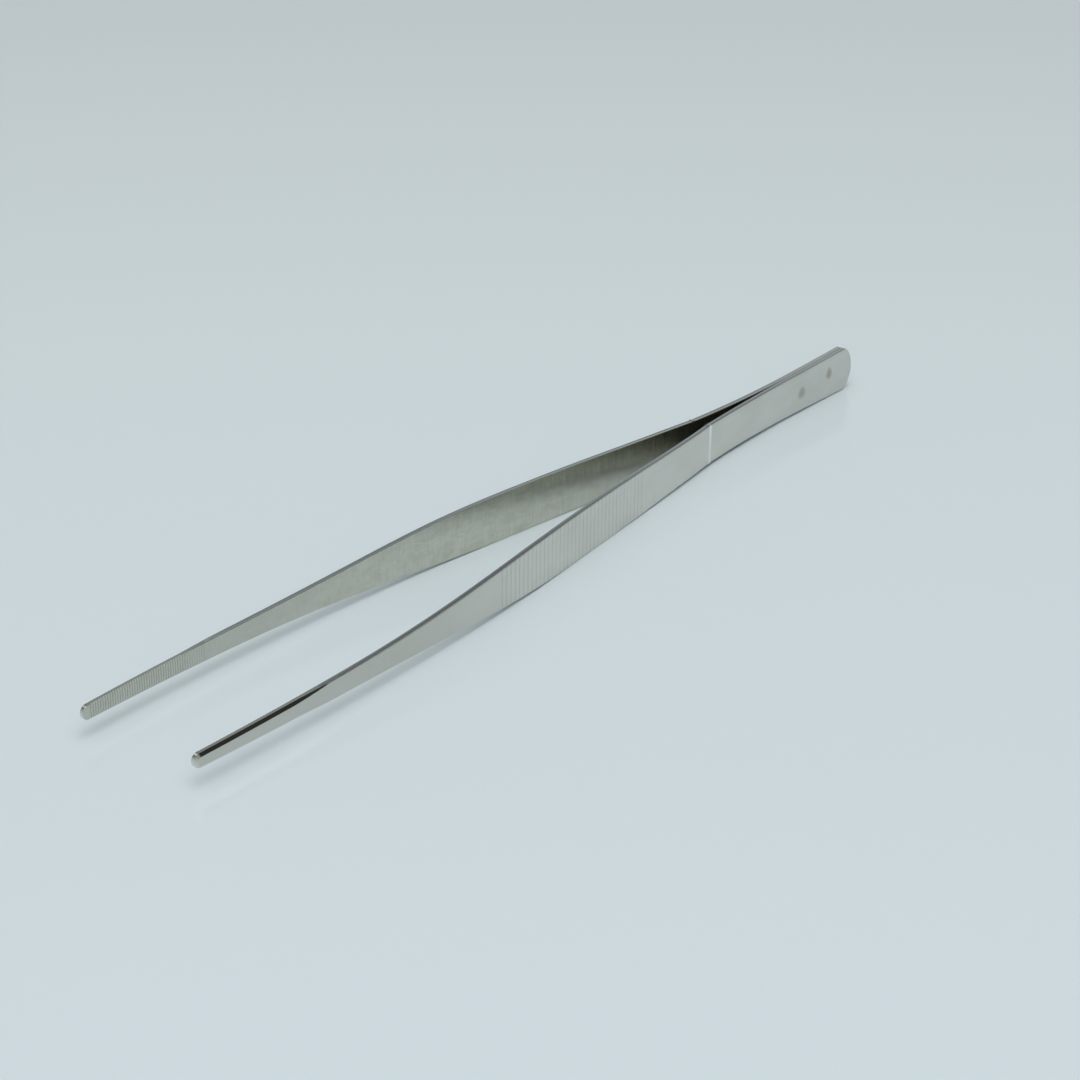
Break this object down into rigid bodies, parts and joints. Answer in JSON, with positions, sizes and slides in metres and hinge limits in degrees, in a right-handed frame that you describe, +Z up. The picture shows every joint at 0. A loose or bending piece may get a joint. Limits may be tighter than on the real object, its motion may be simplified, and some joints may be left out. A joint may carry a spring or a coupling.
{
  "type": "print tongs",
  "caption": "All-metal print tongs: two long sprung leaves welded at the heel, grooved grips, serrated rounded tips.",
  "frame": {"origin": "under the middle of the tongs, on the surface that they lie on", "axes": "+X from the heel to the tips, +Y towards the left leaf, +Z up"},
  "size_m": [0.305, 0.039, 0.0136],
  "materials": {
    "leaf_steel": "satin polished stainless outside, cross brushed inside",
    "weld_metal": "dull, resistance welded"
  },
  "bodies": {
    "root": {"left_leaf_heel": "leaf_steel", "right_leaf_heel": "leaf_steel", "left_leaf_bend": "leaf_steel", "right_leaf_bend": "leaf_steel", "rear_weld_nugget": "weld_metal", "front_weld_nugget": "weld_metal"},
    "left_arm": {"left_leaf_arm": "leaf_steel"},
    "right_arm": {"right_leaf_arm": "leaf_steel"}
  },
  "joints": [
    {"name": "left_leaf_squeeze", "type": "hinge", "parent": "root", "child": "left_arm", "pos_m": [-0.07259, 0.00279, 0.0068], "axis": [0, 0, -1], "range_deg": [0, 4.41], "stiffness_Nm_per_rad": 9.2, "deforming": ["left_leaf_bend"]},
    {"name": "right_leaf_squeeze", "type": "hinge", "parent": "root", "child": "right_arm", "pos_m": [-0.07259, -0.00279, 0.0068], "axis": [0, 0, -1], "range_deg": [-4.41, 0], "stiffness_Nm_per_rad": 9.2, "deforming": ["right_leaf_bend"]}
  ],
  "couplings": [
    {"joint": "right_leaf_squeeze", "follows": "left_leaf_squeeze", "ratio": -1}
  ]
}
